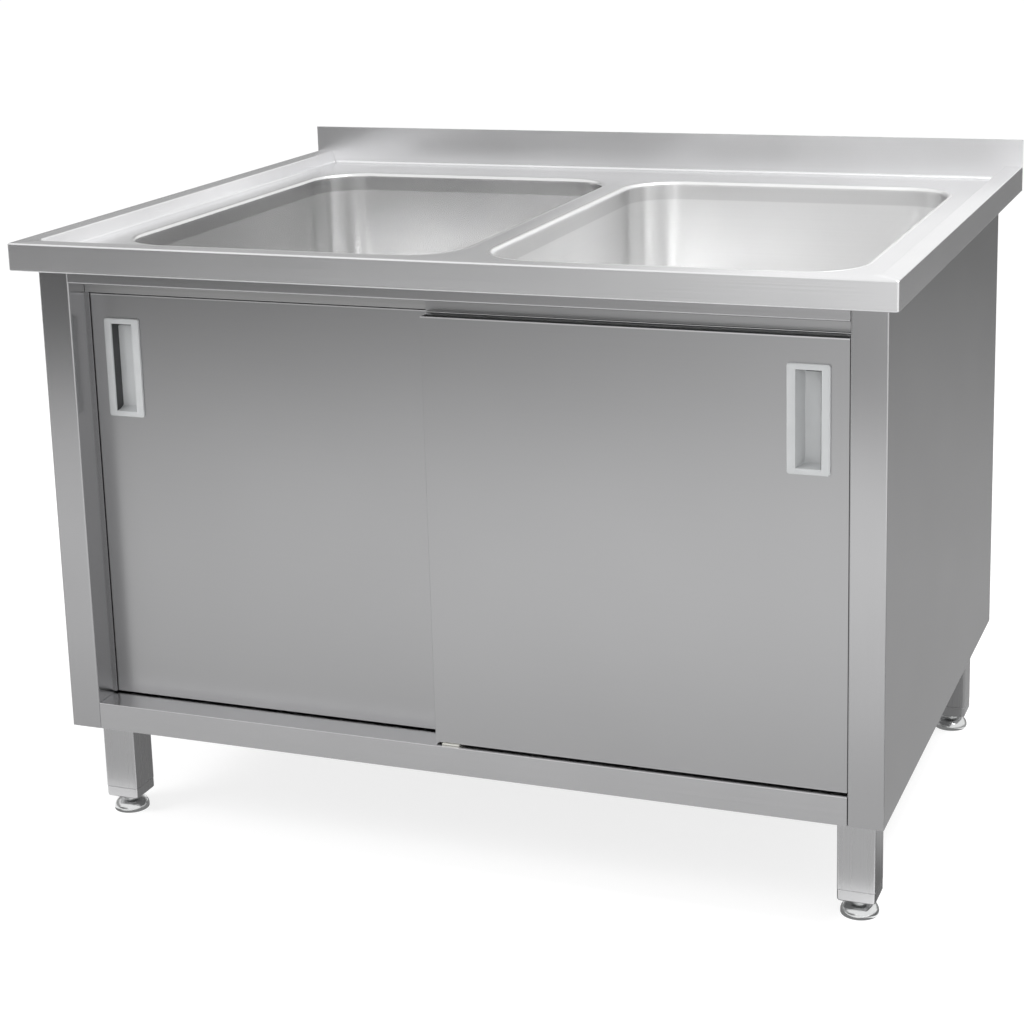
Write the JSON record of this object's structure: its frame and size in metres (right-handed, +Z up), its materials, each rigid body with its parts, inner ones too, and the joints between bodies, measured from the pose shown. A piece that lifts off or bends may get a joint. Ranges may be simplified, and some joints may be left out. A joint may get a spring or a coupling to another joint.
{
  "type": "kitchen sink unit",
  "caption": "Free-standing stainless steel sink unit with deep bowls, splashback, sliding-door cupboard and square legs on adjustable feet.",
  "frame": {"origin": "on the floor under the middle of the worktop's outline", "axes": "+X to the right along the doors' travel, +Y from the front to the splashback, +Z up"},
  "size_m": [1.2, 0.95, 0.892],
  "materials": {
    "worktop_steel": "satin brushed sheet, welds ground flush",
    "panel_steel": "brushed sheet with upright grain",
    "door_steel": "fine satin sheet",
    "structure_steel": "mill-finished sheet",
    "polished_steel": "polished",
    "handle_plastic": "moulded, light grey",
    "nylon": "moulded, natural white"
  },
  "bodies": {
    "carcase": {"worktop": "worktop_steel", "splashback": "worktop_steel", "bowl_left": "worktop_steel", "waste_flange_left": "polished_steel", "strainer_left": "polished_steel", "lock_nut_left": "structure_steel", "waste_tail_left": "nylon", "bowl_right": "worktop_steel", "waste_flange_right": "polished_steel", "strainer_right": "polished_steel", "lock_nut_right": "structure_steel", "waste_tail_right": "nylon", "side_panel_right": "panel_steel", "side_panel_left": "panel_steel", "back_panel": "panel_steel", "bottom_shelf": "panel_steel", "shelf_stiffener": "structure_steel", "ledge_stiffener": "structure_steel", "top_rail": "panel_steel", "door_track": "structure_steel", "bottom_guide": "nylon", "leg_plate_front_left": "structure_steel", "leg_front_left": "panel_steel", "leg_collar_front_left": "polished_steel", "leg_plate_front_right": "structure_steel", "leg_front_right": "panel_steel", "leg_collar_front_right": "polished_steel", "leg_plate_rear_left": "structure_steel", "leg_rear_left": "panel_steel", "leg_collar_rear_left": "polished_steel", "leg_plate_rear_right": "structure_steel", "leg_rear_right": "panel_steel", "leg_collar_rear_right": "polished_steel"},
    "door_left": {"door_left_front_skin": "door_steel", "door_left_back_skin": "door_steel", "door_left_handle": "handle_plastic", "door_left_hanger_1": "structure_steel", "door_left_hanger_2": "structure_steel"},
    "roller_left_1": {"door_left_roller_1": "nylon"},
    "roller_left_2": {"door_left_roller_2": "nylon"},
    "door_right": {"door_right_front_skin": "door_steel", "door_right_back_skin": "door_steel", "door_right_handle": "handle_plastic", "door_right_hanger_1": "structure_steel", "door_right_hanger_2": "structure_steel"},
    "roller_right_1": {"door_right_roller_1": "nylon"},
    "roller_right_2": {"door_right_roller_2": "nylon"},
    "foot_front_left": {"foot_front_left": "polished_steel"},
    "foot_front_right": {"foot_front_right": "polished_steel"},
    "foot_rear_left": {"foot_rear_left": "polished_steel"},
    "foot_rear_right": {"foot_rear_right": "polished_steel"}
  },
  "joints": [
    {"name": "door_left_slide", "type": "slide", "parent": "carcase", "child": "door_left", "axis": [1, 0, 0], "range_m": [0, 0.511]},
    {"name": "roller_left_1_spin", "type": "hinge", "parent": "door_left", "child": "roller_left_1", "pos_m": [-0.463, -0.3623, 0.7983], "axis": [0, 1, 0], "range_deg": [0, 2928.8]},
    {"name": "roller_left_2_spin", "type": "hinge", "parent": "door_left", "child": "roller_left_2", "pos_m": [-0.048, -0.3623, 0.7983], "axis": [0, 1, 0], "range_deg": [0, 2928.8]},
    {"name": "door_right_slide", "type": "slide", "parent": "carcase", "child": "door_right", "axis": [1, 0, 0], "range_m": [-0.511, 0]},
    {"name": "roller_right_1_spin", "type": "hinge", "parent": "door_right", "child": "roller_right_1", "pos_m": [0.048, -0.4003, 0.7983], "axis": [0, 1, 0], "range_deg": [-2928.8, 0]},
    {"name": "roller_right_2_spin", "type": "hinge", "parent": "door_right", "child": "roller_right_2", "pos_m": [0.463, -0.4003, 0.7983], "axis": [0, 1, 0], "range_deg": [-2928.8, 0]},
    {"name": "foot_front_left_adjust", "type": "slide", "parent": "carcase", "child": "foot_front_left", "axis": [0, 0, 1], "range_m": [-0.025, 0]},
    {"name": "foot_front_right_adjust", "type": "slide", "parent": "carcase", "child": "foot_front_right", "axis": [0, 0, 1], "range_m": [-0.025, 0]},
    {"name": "foot_rear_left_adjust", "type": "slide", "parent": "carcase", "child": "foot_rear_left", "axis": [0, 0, 1], "range_m": [-0.025, 0]},
    {"name": "foot_rear_right_adjust", "type": "slide", "parent": "carcase", "child": "foot_rear_right", "axis": [0, 0, 1], "range_m": [-0.025, 0]}
  ],
  "couplings": [
    {"joint": "roller_left_1_spin", "follows": "door_left_slide", "rad_per_m": 100},
    {"joint": "roller_left_2_spin", "follows": "door_left_slide", "rad_per_m": 100},
    {"joint": "roller_right_1_spin", "follows": "door_right_slide", "rad_per_m": 100},
    {"joint": "roller_right_2_spin", "follows": "door_right_slide", "rad_per_m": 100}
  ]
}
